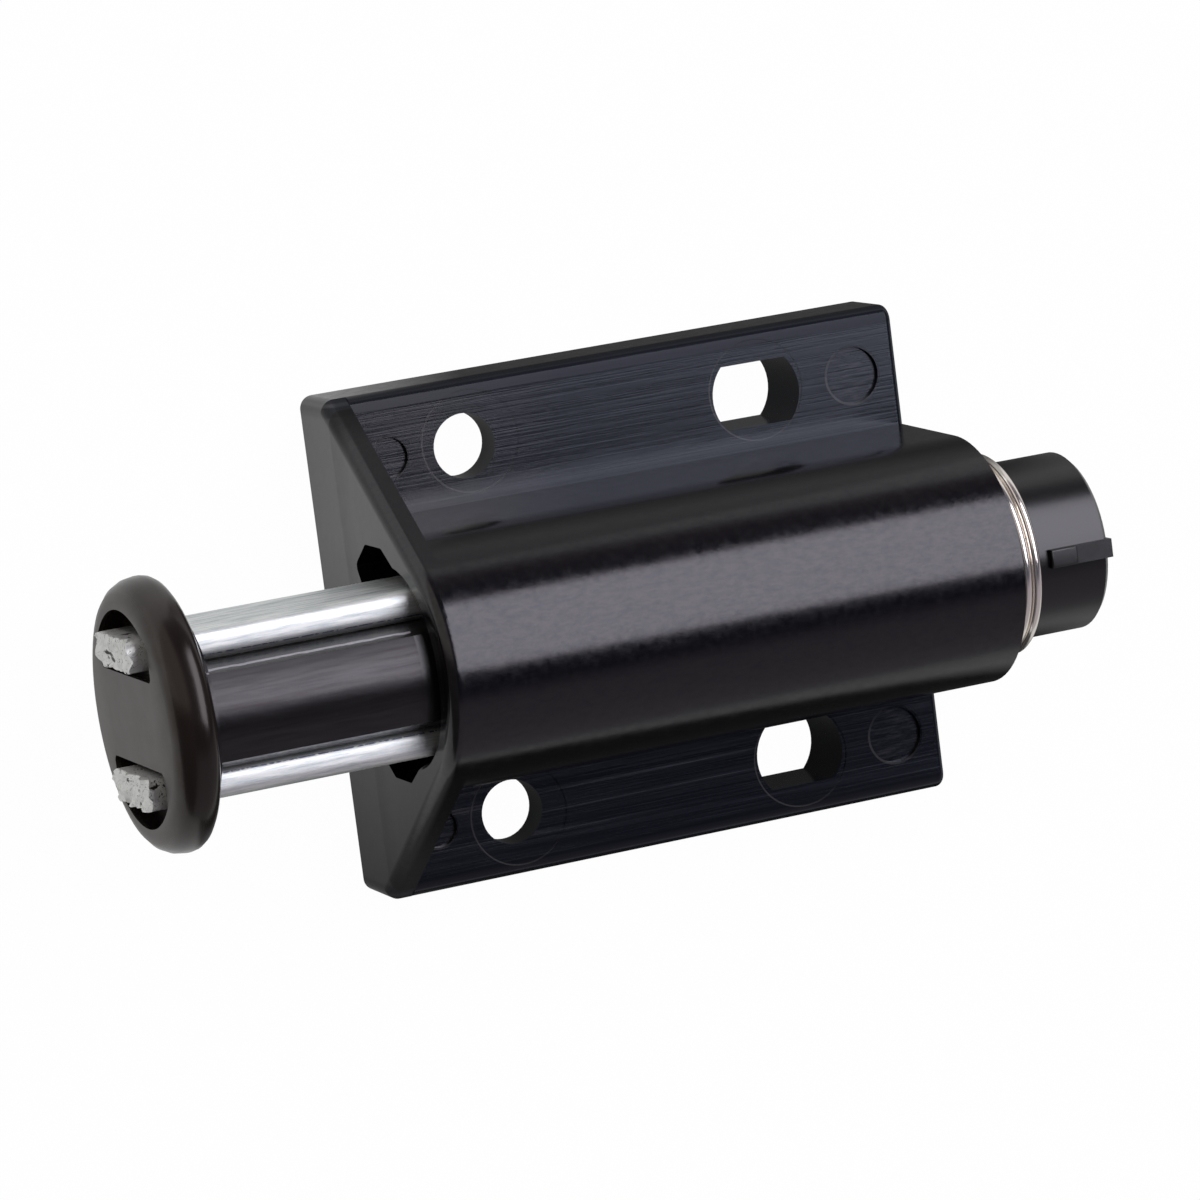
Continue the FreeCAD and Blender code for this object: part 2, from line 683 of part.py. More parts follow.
def make_follower():
    """Bent wire: pivot leg in the base, arm along X, tip leg up in the cam track."""
    body = new_body("cam_follower", 0)
    body.setExpression(".Placement.Base.y", (-s.lane_offset).text)
    low = s.arm_height
    bend = s.follower_bend
    spine = new_sketch(body, "follower_way", "XZ_Plane")
    add_outline(spine, [
        (s.follower_tip, tip_top), (s.follower_tip, low + bend),
        (s.follower_tip + bend, low), (pivot_place - bend, low),
        (pivot_place, low + bend), (pivot_place, pivot_top),
    ], {1: bend, 3: bend}, closed=False)
    drawing = new_sketch(body, "follower_section", "XY_Plane", tip_top)
    add_outline(drawing, wire_corners(s.follower_tip, zero, s.follower_wire / 2, FOLLOWER_SIDES))
    pipe = body.newObject("PartDesign::AdditivePipe", "follower_wire_form")
    pipe.Profile = drawing
    pipe.Spine = spine
    return body


def half_ring(start, end, side, section_radius):
    """Half a turn of wire from one point to the next, as a tilted half ring."""
    middle = (start + end) / 2
    way = FreeCAD.Vector(0, side, 0)
    outward = (start - middle).normalize()
    across = way.cross(outward)
    corners = []
    for place in range(WIRE_SIDES + 1):
        turn = 2 * math.pi * (place + 1 / 2) / WIRE_SIDES
        corners.append(start + (outward * math.cos(turn) + across * math.sin(turn)) * section_radius)
    section = Part.Face(Part.makePolygon(corners))
    return section.revolve(middle, outward.cross(way), 180)


def make_spring():
    """Compression spring between the plunger's ears and the tongue's lip: close turns
    at its ends and open ones between. Its wire is drawn with four flats."""
    wire = SIZES["spring_wire"]
    area_radius = wire / 2 * math.sqrt(2 * math.pi / (WIRE_SIDES * math.sin(2 * math.pi / WIRE_SIDES)))
    close = SIZES["close_pitch"]
    begin = collar_end.number + wire / 2
    length = spring_end.number - wire / 2 - begin
    close_turns = SIZES["front_turns"] + SIZES["rear_turns"]
    open_pitch = (length - close * close_turns) / SIZES["active_turns"]
    pitches = [close] * (2 * SIZES["front_turns"])
    pitches += [open_pitch] * (2 * SIZES["active_turns"])
    pitches += [close] * (2 * SIZES["rear_turns"])
    place = begin
    side = 1
    rings = []
    for pitch in pitches:
        start = FreeCAD.Vector(place, 0, spring_radius.number * side)
        place += pitch / 2
        end = FreeCAD.Vector(place, 0, -spring_radius.number * side)
        rings.append(half_ring(start, end, side, area_radius))
        side = -side
    coil = doc.addObject("Part::Feature", "return_spring")
    coil.Label = "return_spring"
    coil.Shape = rings[0].multiFuse(rings[1:]).Solids[0]
    coil.setExpression(".Placement.Base.x", (-s.base_length / 2).text)
    coil.setExpression(".Placement.Base.z", s.axis_height.text)
    return coil


bodies = [
    make_housing(), make_plunger(), make_bar("pole_bar_left", 1), make_bar("pole_bar_right", -1),
    make_magnet(), make_follower(), make_spring(),
]
doc.recompute()

for item in doc.Objects:
    if "Invalid" in item.State or "Error" in item.State:
        raise ValueError(f"{item.Label} failed: {item.State}")
    if item.TypeId == "PartDesign::Pocket" and item.Shape.Volume > item.BaseFeature.Shape.Volume - LEAST_CUT:
        raise ValueError(f"{item.Label} cuts nothing")
os.makedirs("parts", exist_ok=True)
for body in bodies:
    if body.Shape.isNull() or not body.Shape.isValid() or len(body.Shape.Solids) != 1:
        raise ValueError(f"{body.Label} is not one sound solid")
    body.Shape.exportStep(os.path.join("parts", f"{body.Label}.step"))
    box = body.Shape.BoundBox
    print(f"{body.Label:16s} {body.Shape.Volume:9.1f} mm3  X {box.XMin:7.2f} {box.XMax:7.2f}"
          f"  Y {box.YMin:7.2f} {box.YMax:7.2f}  Z {box.ZMin:6.2f} {box.ZMax:6.2f}")
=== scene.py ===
"""Push to open catch, dressed for the render. Metres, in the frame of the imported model."""
import math

import bpy
from mathutils import Matrix, Vector


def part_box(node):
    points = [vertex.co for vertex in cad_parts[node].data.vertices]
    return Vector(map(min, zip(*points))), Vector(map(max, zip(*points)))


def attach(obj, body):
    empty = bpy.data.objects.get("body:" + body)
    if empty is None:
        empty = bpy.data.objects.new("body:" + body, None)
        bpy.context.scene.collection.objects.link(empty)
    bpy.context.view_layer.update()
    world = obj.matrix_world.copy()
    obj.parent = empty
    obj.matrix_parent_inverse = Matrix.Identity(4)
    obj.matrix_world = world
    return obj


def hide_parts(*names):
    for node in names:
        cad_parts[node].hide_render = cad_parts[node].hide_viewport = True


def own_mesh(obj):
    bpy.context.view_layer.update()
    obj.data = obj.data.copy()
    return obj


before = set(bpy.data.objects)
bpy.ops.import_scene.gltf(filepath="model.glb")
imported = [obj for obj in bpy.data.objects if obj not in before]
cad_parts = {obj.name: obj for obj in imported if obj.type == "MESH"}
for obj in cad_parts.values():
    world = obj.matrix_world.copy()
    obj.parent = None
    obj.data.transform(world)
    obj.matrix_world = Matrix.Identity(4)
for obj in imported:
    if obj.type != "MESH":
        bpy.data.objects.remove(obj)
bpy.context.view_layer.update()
MM = 0.001

# Camera. It looks down on the catch from in front of its head, turned so that the barrel
# climbs a little to the right, as in the photograph. The long lens flattens the view.
eye = Vector((-158.5, 67.8, 398.0)) * MM
view_back = Vector((-0.3631, 0.1573, 0.9184)).normalized()
view_up = Vector((0.1748, 0.9796, -0.0987))
view_right = view_up.cross(view_back).normalized()
view_up = view_back.cross(view_right)
camera_data = bpy.data.cameras.new("camera")
camera_data.lens = 169.77
camera_data.sensor_width = 36.0
camera_data.clip_start = 0.01
camera = bpy.data.objects.new("camera", camera_data)
bpy.context.scene.collection.objects.link(camera)
view_axes = Matrix((view_right, view_up, view_back)).transposed().to_4x4()
camera.matrix_world = Matrix.Translation(eye) @ view_axes
bpy.context.scene.camera = camera
bpy.context.scene.view_settings.view_transform = "Standard"

# Floor. A white sheet under the catch, which shows white to the eye and takes a soft shadow.
# In gloss it shows a painted shade in place of the lit sheet: bright only in front of the head,
# towards the lamp side, far out to the side and behind the tail, and dark close to the catch, so
# that the black walls of the catch stay dark.
sheet_size, sheet_drop = 6.0, 0.02 * MM
paper_white = (0.8, 0.8, 0.8)
glow_to_eye = 0.985


def feed(tree, socket, term):
    """Join a socket to the output that drives it, or give it a plain value."""
    if isinstance(term, bpy.types.NodeSocket):
        tree.links.new(term, socket)
    elif socket.type == "RGBA":
        socket.default_value = (*term, 1)
    else:
        socket.default_value = term


def reckoned(tree, operation, *terms):
    """The outcome of a sum with one, two or three terms."""
    step = tree.nodes.new("ShaderNodeMath")
    step.operation = operation
    for socket, term in zip(step.inputs, terms):
        feed(tree, socket, term)
    return step.outputs[0]


def span(tree, value, start, end, low=0.0, high=1.0):
    """A level that goes from low to high while the value goes from start to end."""
    ramp = tree.nodes.new("ShaderNodeMapRange")
    feed(tree, ramp.inputs["Value"], value)
    feed(tree, ramp.inputs["From Min"], start)
    feed(tree, ramp.inputs["From Max"], end)
    feed(tree, ramp.inputs["To Min"], low)
    feed(tree, ramp.inputs["To Max"], high)
    return ramp.outputs["Result"]


def mixed(tree, share, first, second, kind="RGBA"):
    """The first colour or level with a share of the second laid over it."""
    mix = tree.nodes.new("ShaderNodeMix")
    mix.data_type = kind
    feed(tree, mix.inputs["Factor"], share)
    feed(tree, mix.inputs["A"], first)
    feed(tree, mix.inputs["B"], second)
    return mix.outputs["Result"]


bpy.ops.object.select_all(action="DESELECT")
bpy.ops.mesh.primitive_plane_add(size=sheet_size, location=(0, 0, -sheet_drop))
floor = bpy.context.object
floor.name = "floor"
paper = bpy.data.materials.new("white_paper")
paper.use_nodes = True
tree = paper.node_tree
tree.nodes.clear()
output = tree.nodes.new("ShaderNodeOutputMaterial")
sheet = tree.nodes.new("ShaderNodeMixShader")
matte = tree.nodes.new("ShaderNodeBsdfDiffuse")
glow = tree.nodes.new("ShaderNodeEmission")
rays = tree.nodes.new("ShaderNodeLightPath").outputs
where = tree.nodes.new("ShaderNodeTexCoord").outputs["Object"]
place = tree.nodes.new("ShaderNodeSeparateXYZ")
feed(tree, place.inputs[0], where)
along, aside = place.outputs["X"], place.outputs["Y"]
# Painted shade for the sheet as seen in gloss: dark close to the catch, lighter ahead of the head,
# on the lamp side, far out and behind the tail.
under_head = span(tree, along, -10 * MM, -25 * MM, low=0.09, high=0.66)
lamp_side = span(tree, aside, -20 * MM, 8 * MM, low=0.28)
before_head = span(tree, along, -30 * MM, -36 * MM)
far_out = span(tree, aside, 24 * MM, 46 * MM, high=0.27)
behind_tail = span(tree, along, 36 * MM, 52 * MM, high=0.55)
painted_shade_near = reckoned(tree, "MAXIMUM", lamp_side, before_head)
painted_shade_near = reckoned(tree, "MULTIPLY", painted_shade_near, under_head)
painted_shade_far = reckoned(tree, "MAXIMUM", far_out, behind_tail)
painted_gloss_shade = reckoned(tree, "ADD", painted_shade_near, painted_shade_far)
glow_level = mixed(tree, rays["Is Camera Ray"], painted_gloss_shade, 1.0, kind="FLOAT")
glow_share = reckoned(
    tree, "MULTIPLY_ADD", rays["Is Camera Ray"], glow_to_eye, rays["Is Glossy Ray"])
feed(tree, matte.inputs["Color"], paper_white)
feed(tree, glow.inputs["Strength"], glow_level)
feed(tree, sheet.inputs["Fac"], glow_share)
feed(tree, sheet.inputs[1], matte.outputs[0])
feed(tree, sheet.inputs[2], glow.outputs[0])
feed(tree, output.inputs["Surface"], sheet.outputs[0])
floor.data.materials.append(paper)

# Softbox. One broad lamp overhead on the +Y side, which lays the bright band along the
# barrel, the neck and the tail.
low_edge, high_edge, lamp_distance = math.radians(34), math.radians(92.3), 0.9
lamp_length, lamp_lean, lamp_level = 0.62, 0.44, 3.5
middle, half = (low_edge + high_edge) / 2, (high_edge - low_edge) / 2
way = Vector((lamp_lean, math.cos(middle), math.sin(middle))).normalized()
across = Vector((1, 0, 0))
across = (across - way * across.dot(way)).normalized()
lamp_data = bpy.data.lights.new("softbox", "AREA")
lamp_data.shape = "RECTANGLE"
lamp_data.size = lamp_length
lamp_data.size_y = 2 * lamp_distance * math.tan(half)
lamp_data.energy = lamp_level * math.pi * lamp_data.size * lamp_data.size_y
lamp_data.color = (0.97, 0.945, 1.03)
lamp = bpy.data.objects.new("softbox", lamp_data)
bpy.context.scene.collection.objects.link(lamp)
lamp_axes = Matrix((across, way.cross(across), way)).transposed().to_4x4()
lamp.matrix_world = Matrix.Translation(way * lamp_distance) @ lamp_axes

# Room. Pale walls with a dark gap beside each long edge of the softbox, which draws the
# dark lines beside the bright band. In front of the head stands a warm pane, and the eye
# itself sees white behind the catch.
wall_colours = (
    (0.0, (0.30, 0.28, 0.30)), (0.05, (0.10, 0.09, 0.11)), (0.10, (0.07, 0.065, 0.085)),
    (0.135, (0.01, 0.015, 0.03)), (0.185, (0.01, 0.015, 0.03)), (0.20, (0.08, 0.08, 0.1)),
    (0.51, (0.08, 0.08, 0.1)), (0.53, (0.008, 0.012, 0.03)), (0.62, (0.01, 0.015, 0.035)),
    (0.70, (0.28, 0.25, 0.29)), (1.0, (0.34, 0.32, 0.34)))
dim_end, warm_pane = (0.09, 0.085, 0.085), (0.60, 0.54, 0.51)
end_from, end_to = -0.2, -0.32
pane_from, pane_to = 0.06, 0.2
seen_white = (1, 1, 1)


def tinted(tree, value, *stops):
    """Colours that run from stop to stop, each stop a value and its colour."""
    ramp = tree.nodes.new("ShaderNodeValToRGB")
    steps = ramp.color_ramp.elements
    while len(steps) < len(stops):
        steps.new(0.5)
    for step, (at, colour) in zip(steps, stops):
        step.position = at
        step.color = (*colour, 1)
    feed(tree, ramp.inputs["Fac"], value)
    return ramp.outputs["Color"]


world = bpy.data.worlds.new("room")
bpy.context.scene.world = world
world.use_nodes = True
tree = world.node_tree
tree.nodes.clear()
output = tree.nodes.new("ShaderNodeOutputWorld")
background = tree.nodes.new("ShaderNodeBackground")
rays = tree.nodes.new("ShaderNodeLightPath").outputs
where = tree.nodes.new("ShaderNodeTexCoord").outputs["Generated"]
ways = tree.nodes.new("ShaderNodeSeparateXYZ")
feed(tree, ways.inputs[0], where)
height_angle = reckoned(tree, "ARCTAN2", ways.outputs["Z"], ways.outputs["Y"])
walls = tinted(tree, reckoned(tree, "MULTIPLY", height_angle, 1 / math.pi), *wall_colours)
pane = mixed(tree, span(tree, ways.outputs["Y"], pane_from, pane_to), dim_end, warm_pane)
all_round = mixed(tree, span(tree, ways.outputs["X"], end_from, end_to), walls, pane)
seen = mixed(tree, rays["Is Camera Ray"], all_round, seen_white)
feed(tree, background.inputs["Color"], seen)
feed(tree, output.inputs["Surface"], background.outputs[0])

# Housing. One moulding in black ABS: flanges, front wall and barrel in one. The barrel has
# a fine mottled gloss. The flanges are scuffed lengthwise, with a ring round each hole where
# the core pins sat in the mould, each drawn with painted light and shade, and scraped marks where
# the ejectors pushed. The foot of the barrel and the long edges of the flanges carry painted shade
# and a painted highlight line on their shine.
flange_top, flange_under = 5.9 * MM, 5.83 * MM
front_face, side_face = -23.05 * MM, 18.95 * MM
barrel_black = (0.0042, 0.0037, 0.0043)
slate_dark, slate_light = (0.0086, 0.0096, 0.0130), (0.0112, 0.0128, 0.0170)
barrel_dull, barrel_bright = (0.80, 0.80, 0.87), (1.0, 0.98, 1.0)
flange_bright, flange_dull = (0.95, 0.96, 1.0), (0.60, 0.65, 0.76)
shaded = (0.05, 0.05, 0.06)
polish, scratch_dulling = -0.035, 0.12
edge_from, edge_to = 17 * MM, 19 * MM
# Painted shade across the rounded long edges of the flanges: place across the edge, and depth of
# shade.
painted_edge_levels = ((0.30, 0.0), (0.42, 0.75), (0.70, 0.75), (0.76, 0.0), (0.82, 0.0), (0.88, 0.75))
scraped_grey, scrape_slant = (0.045, 0.045, 0.05), math.radians(-50)
ejector_marks = ((-18.7, 14.1, 1.45), (19.5, 14.1, 2.1))
mark_rings = ((-12.15, 14.3, 3.85, 0.06), (11.35, 14.3, 3.85, 0.06),
              (-18.7, 14.1, 1.55, 0.09), (19.5, 14.1, 2.22, 0.1))
lit_way_x, lit_way_y = -0.8, -0.6


def new_finish(name):
    """A finish, its nodes, its shader's sockets, and the piece's places, whole and by axis."""
    finish = bpy.data.materials.new(name)
    finish.use_nodes = True
    tree = finish.node_tree
    where = tree.nodes.new("ShaderNodeTexCoord").outputs["Object"]
    place = tree.nodes.new("ShaderNodeSeparateXYZ")
    feed(tree, place.inputs[0], where)
    return finish, tree, tree.nodes["Principled BSDF"].inputs, where, place.outputs


def grained(tree, where, scale, detail, roughness=0.5, distortion=0.0, slant=0.0):
    """A cloudy grain. A scale for each axis draws it out, and a slant turns it."""
    noise = tree.nodes.new("ShaderNodeTexNoise")
    if isinstance(scale, tuple):
        drawn_out = tree.nodes.new("ShaderNodeMapping")
        feed(tree, drawn_out.inputs["Vector"], where)
        feed(tree, drawn_out.inputs["Rotation"], (0, 0, slant))
        feed(tree, drawn_out.inputs["Scale"], scale)
        where, scale = drawn_out.outputs[0], 1.0
    feed(tree, noise.inputs["Vector"], where)
    feed(tree, noise.inputs["Scale"], scale)
    feed(tree, noise.inputs["Detail"], detail)
    feed(tree, noise.inputs["Roughness"], roughness)
    feed(tree, noise.inputs["Distortion"], distortion)
    return noise.outputs["Fac"]


def raised(tree, shader, height, strength, depth):
    """Raise the skin of a finish by a grain."""
    skin = tree.nodes.new("ShaderNodeBump")
    feed(tree, skin.inputs["Strength"], strength)
    feed(tree, skin.inputs["Distance"], depth)
    feed(tree, skin.inputs["Height"], height)
    feed(tree, shader["Normal"], skin.outputs[0])


def reckoned_on_plan(tree, operation, outcome, *terms):
    """The outcome of a sum with places or ways, as a vector or a value."""
    step = tree.nodes.new("ShaderNodeVectorMath")
    step.operation = operation
    for socket, term in zip(step.inputs, terms):
        feed(tree, socket, term)
    return step.outputs[outcome]


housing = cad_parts["housing"]
black_abs, tree, shader, where, place = new_finish("moulded_black_abs")
shader["Specular IOR Level"].default_value = 0.62
out_from_middle = reckoned(tree, "ABSOLUTE", place["Y"])
low_down = span(tree, place["Z"], flange_top, flange_under)
behind_front = reckoned(tree, "GREATER_THAN", place["X"], front_face)
within_sides = reckoned(tree, "LESS_THAN", out_from_middle, side_face)
on_flange = reckoned(tree, "MULTIPLY", behind_front, within_sides)
on_flange = reckoned(tree, "MULTIPLY", low_down, on_flange)

# Its roughness: mottled on the barrel, brushed and scratched lengthwise on the flanges.
streaks = grained(tree, where, scale=(60, 6500, 1500), detail=4, roughness=0.7)
mottle = grained(tree, where, scale=1400, detail=5, roughness=0.65)
grain = mixed(tree, on_flange, mottle, streaks, kind="FLOAT")
scratches = span(tree, grained(tree, where, scale=(25, 3200, 900), detail=2), 0.62, 0.72)
scratches = reckoned(tree, "MULTIPLY", scratches, on_flange)
roughness = span(tree, grain, 0.3, 0.7, low=0.13, high=0.24)
roughness = reckoned(tree, "MULTIPLY_ADD", on_flange, polish, roughness)
roughness = reckoned(tree, "MULTIPLY_ADD", scratches, scratch_dulling, roughness)
feed(tree, shader["Roughness"], roughness)
raised(tree, shader, grain, strength=0.27, depth=0.02 * MM)

# Its shine, with painted shade: darker at the foot of the barrel, and along the long edges of the
# flanges painted dark bands with a thin painted highlight line between them.
patches = grained(tree, where, scale=(1100, 2600, 2600), detail=8, roughness=0.82)
barrel_shine = tinted(tree, patches, (0.40, barrel_dull), (0.55, barrel_bright))
behind_hole = span(tree, place["X"], -16 * MM, -4 * MM)
flange_shine = mixed(tree, behind_hole, flange_bright, flange_dull)
shine = mixed(tree, on_flange, barrel_shine, flange_shine)
above_flange = reckoned(tree, "GREATER_THAN", place["Z"], flange_top)
# Painted shade at the foot of the barrel, where it meets the flanges.
foot_painted_shade = span(tree, place["Z"], 6.6 * MM, 9 * MM, low=0.62, high=0.0)
foot_painted_shade = reckoned(tree, "MULTIPLY", foot_painted_shade, above_flange)
# Painted dark bands on the rounded long edges of the flanges, with a thin painted highlight line
# between them.
painted_edge_shade = tinted(tree, span(tree, out_from_middle, edge_from, edge_to),
                   *((at, (grey, grey, grey)) for at, grey in painted_edge_levels))
shade = reckoned(tree, "MAXIMUM", foot_painted_shade, painted_edge_shade)
feed(tree, shader["Specular Tint"], mixed(tree, shade, shine, shaded))

# Its colour: black, slate on the flanges, with the scraped marks and the rings drawn on it, each
# ring with painted light on one side and painted shade on the other.
slate = tinted(tree, streaks, (0.33, slate_dark), (0.64, slate_light))
colour = mixed(tree, on_flange, barrel_black, slate)
plan = tree.nodes.new("ShaderNodeCombineXYZ")
feed(tree, plan.inputs["X"], place["X"])
feed(tree, plan.inputs["Y"], place["Y"])
scrapes = grained(tree, where, scale=(500, 3600, 1), detail=5, roughness=0.7, slant=scrape_slant)
scrapes = span(tree, scrapes, 0.48, 0.70)
for centre_x, centre_out, radius in ejector_marks:
    for centre_y in (centre_out, -centre_out):
        centre = (centre_x * MM, centre_y * MM, 0)
        offset = reckoned_on_plan(tree, "SUBTRACT", "Vector", plan.outputs[0], centre)
        reach = reckoned_on_plan(tree, "LENGTH", "Value", offset)
        mark = reckoned(tree, "LESS_THAN", reach, radius * MM)
        mark = reckoned(tree, "MULTIPLY", mark, scrapes)
        colour = mixed(tree, mark, colour, scraped_grey)
# Each ring is drawn lighter on the side towards lit_way and darker away from it: painted light and
# shade.
for centre_x, centre_out, radius, line in mark_rings:
    for centre_y in (centre_out, -centre_out):
        centre = (centre_x * MM, centre_y * MM, 0)
        lit_way = (lit_way_x / (radius * MM), lit_way_y / (radius * MM), 0)
        offset = reckoned_on_plan(tree, "SUBTRACT", "Vector", plan.outputs[0], centre)
        reach = reckoned_on_plan(tree, "LENGTH", "Value", offset)
        ring = reckoned(tree, "COMPARE", reach, radius * MM, line * MM)
        ring = reckoned(tree, "MULTIPLY", ring, on_flange)
        facing_light = reckoned_on_plan(tree, "DOT_PRODUCT", "Value", offset, lit_way)
        ring_painted_light_and_shade = span(tree, facing_light, -0.5, 0.9, low=0.001, high=0.058)
        colour = mixed(tree, ring, colour, ring_painted_light_and_shade)
feed(tree, shader["Base Color"], colour)
housing.data.materials.clear()
housing.data.materials.append(black_abs)

# Plunger. A second black moulding in acetal, head, neck and tail in one. The neck is dragged
# lengthwise, with a pale line beside the upper bar that is partly flash and partly a painted
# highlight, and painted shade on its shine towards that bar. The head is a warmer black with
# a dull, clouded face. The CAD mesh is joined up and shaded round for it.
neck_black, pale_flash_and_highlight = (0.0040, 0.0035, 0.0033), (0.30, 0.29, 0.31)
drag_dull, drag_bright, tail_bright = (0.66, 0.62, 0.66), (1.0, 0.97, 1.0), (0.98, 0.98, 1.0)
painted_shade_dull = (0.12, 0.11, 0.12)
neck_middle, neck_half, neck_top = -32 * MM, 8 * MM, 20.2 * MM
pale_line_out, pale_line_half, pale_line_ragged = 3.5 * MM, 0.05 * MM, 0.14 * MM
head_black, rim_dull = (0.014, 0.0102, 0.0084), (0.58, 0.54, 0.52)
cloud_dull, cloud_bright = (0.80, 0.71, 0.65), (1.0, 0.95, 0.90)
head_back = -40.45 * MM
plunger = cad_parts["plunger"]

neck_acetal, tree, shader, where, place = new_finish("plunger_black_acetal")
shader["Specular IOR Level"].default_value = 0.66
shader["Roughness"].default_value = 0.27
mottle = grained(tree, where, scale=1100, detail=5)
raised(tree, shader, mottle, strength=0.4, depth=0.02 * MM)
on_neck = reckoned(tree, "COMPARE", place["X"], neck_middle, neck_half)
on_top = reckoned(tree, "GREATER_THAN", place["Z"], neck_top)
# A pale line beside the upper bar: partly flash, partly a painted highlight along the edge of the
# neck.
ragged_out = reckoned(tree, "MULTIPLY_ADD", mottle, pale_line_ragged, place["Y"])
flash_and_highlight = reckoned(tree, "COMPARE", ragged_out, pale_line_out, pale_line_half)
flash_and_highlight = reckoned(tree, "MULTIPLY", flash_and_highlight, on_top)
flash_and_highlight = reckoned(tree, "MULTIPLY", flash_and_highlight, on_neck)
feed(tree, shader["Base Color"], mixed(tree, flash_and_highlight, neck_black, pale_flash_and_highlight))
drag_lines = grained(tree, where, scale=(160, 2600, 2600), detail=7, roughness=0.7)
dragged = tinted(tree, drag_lines, (0.36, drag_dull), (0.60, drag_bright))
shine = mixed(tree, on_neck, tail_bright, dragged)
# Painted shade: the shine of the neck is darkened towards the upper bar.
painted_shade_near_bar = span(tree, place["Y"], 1.6 * MM, 3.4 * MM, high=0.72)
painted_shade_near_bar = reckoned(tree, "MULTIPLY", painted_shade_near_bar, on_neck)
feed(tree, shader["Specular Tint"], mixed(tree, painted_shade_near_bar, shine, painted_shade_dull))

head_acetal, tree, shader, where, place = new_finish("head_black_acetal")
shader["Specular IOR Level"].default_value = 0.72
feed(tree, shader["Base Color"], head_black)
roughness = span(tree, place["X"], -43.2 * MM, -43.78 * MM, low=0.2, high=0.38)
feed(tree, shader["Roughness"], roughness)
cloud = grained(tree, where, scale=420, detail=6, roughness=0.6)
clouded = tinted(tree, cloud, (0.38, cloud_dull), (0.62, cloud_bright))
on_face = span(tree, place["X"], -43 * MM, -43.6 * MM)
feed(tree, shader["Specular Tint"], mixed(tree, on_face, rim_dull, clouded))
raised(tree, shader, cloud, strength=0.25, depth=0.05 * MM)

bpy.ops.object.select_all(action="DESELECT")
smooth_plunger = bpy.data.objects.new("smooth_plunger", plunger.data.copy())
bpy.context.scene.collection.objects.link(smooth_plunger)
smooth_plunger.select_set(True)
bpy.context.view_layer.objects.active = smooth_plunger
bpy.ops.object.mode_set(mode="EDIT")
bpy.ops.mesh.customdata_custom_splitnormals_clear()
bpy.ops.mesh.select_all(action="SELECT")
bpy.ops.mesh.remove_doubles(threshold=0.001 * MM)
bpy.ops.object.mode_set(mode="OBJECT")
bpy.ops.object.shade_smooth_by_angle(angle=math.radians(32))
smooth_plunger.data.materials.clear()
smooth_plunger.data.materials.append(neck_acetal)
smooth_plunger.data.materials.append(head_acetal)
for face in smooth_plunger.data.polygons:
    face.material_index = 1 if face.center.x < head_back else 0
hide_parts("plunger")
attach(smooth_plunger, "slider")

# Pole bars. Two strips of zinc plated steel, rolled with round edges and cropped to length,
# so that the ends in the head are torn and cracked. They are moulded into the plunger.
plate_dark, plate_light = (0.64, 0.71, 0.71), (0.98, 1.0, 0.97)
side_dark, side_light = (0.42, 0.47, 0.48), (0.90, 0.92, 0.92)
painted_line_blue, painted_line_out, painted_line_half = (0.16, 0.20, 0.34), 4.3 * MM, 0.05 * MM
crust_and_crack_shade_greys = ((0.34, 0.03), (0.38, 0.95), (0.492, 0.98), (0.50, 0.04), (0.508, 0.98), (0.75, 0.90))
edge_round = 0.9 * MM
torn_depth, ring_pitch = 0.72 * MM, 0.18 * MM
strips_across, strips_up, rings_at_end = 9, 25, 5

bar_zinc, tree, shader, where, place = new_finish("bar_zinc_plate")
streaks = grained(tree, where, scale=(260, 3800, 3800), detail=6, roughness=0.75)
plate = tinted(tree, streaks, (0.36, plate_dark), (0.56, plate_light))
# Painted shade: the same zinc drawn darker down the sides of each bar than on its face.
side_painted_shade = tinted(tree, streaks, (0.36, side_dark), (0.58, side_light))
painted_shade_down_side = span(tree, place["Z"], 18.35 * MM, 18.15 * MM, high=0.75)
zinc = mixed(tree, painted_shade_down_side, plate, side_painted_shade)
out_from_middle = reckoned(tree, "ABSOLUTE", place["Y"])
# A painted reflection: a broken dark blue line along the inner round of each bar, beside its
# highlight.
painted_dark_line = reckoned(tree, "COMPARE", out_from_middle, painted_line_out, painted_line_half)
patchy = span(tree, grained(tree, where, scale=2600, detail=3), 0.40, 0.52, high=0.85)
zinc = mixed(tree, reckoned(tree, "MULTIPLY", painted_dark_line, patchy), zinc, painted_line_blue)
# The torn ends: a pale crust with dark crack lines, whose darkness is painted shade in the cracks.
cracks = grained(tree, where, scale=800, detail=3, roughness=0.6, distortion=0.8)
crust_and_crack_shade = tinted(tree, cracks, *((at, (grey * 0.97, grey, grey * 0.96)) for at, grey in crust_and_crack_shade_greys))
torn = span(tree, place["X"], -42.9 * MM, -43.2 * MM)
feed(tree, shader["Base Color"], mixed(tree, torn, zinc, crust_and_crack_shade))
feed(tree, shader["Metallic"], span(tree, torn, 0.0, 1.0, low=1.0, high=0.45))
feed(tree, shader["Roughness"], span(tree, torn, 0.0, 1.0, low=0.5, high=0.4))
raised(tree, shader, streaks, strength=0.3, depth=0.02 * MM)

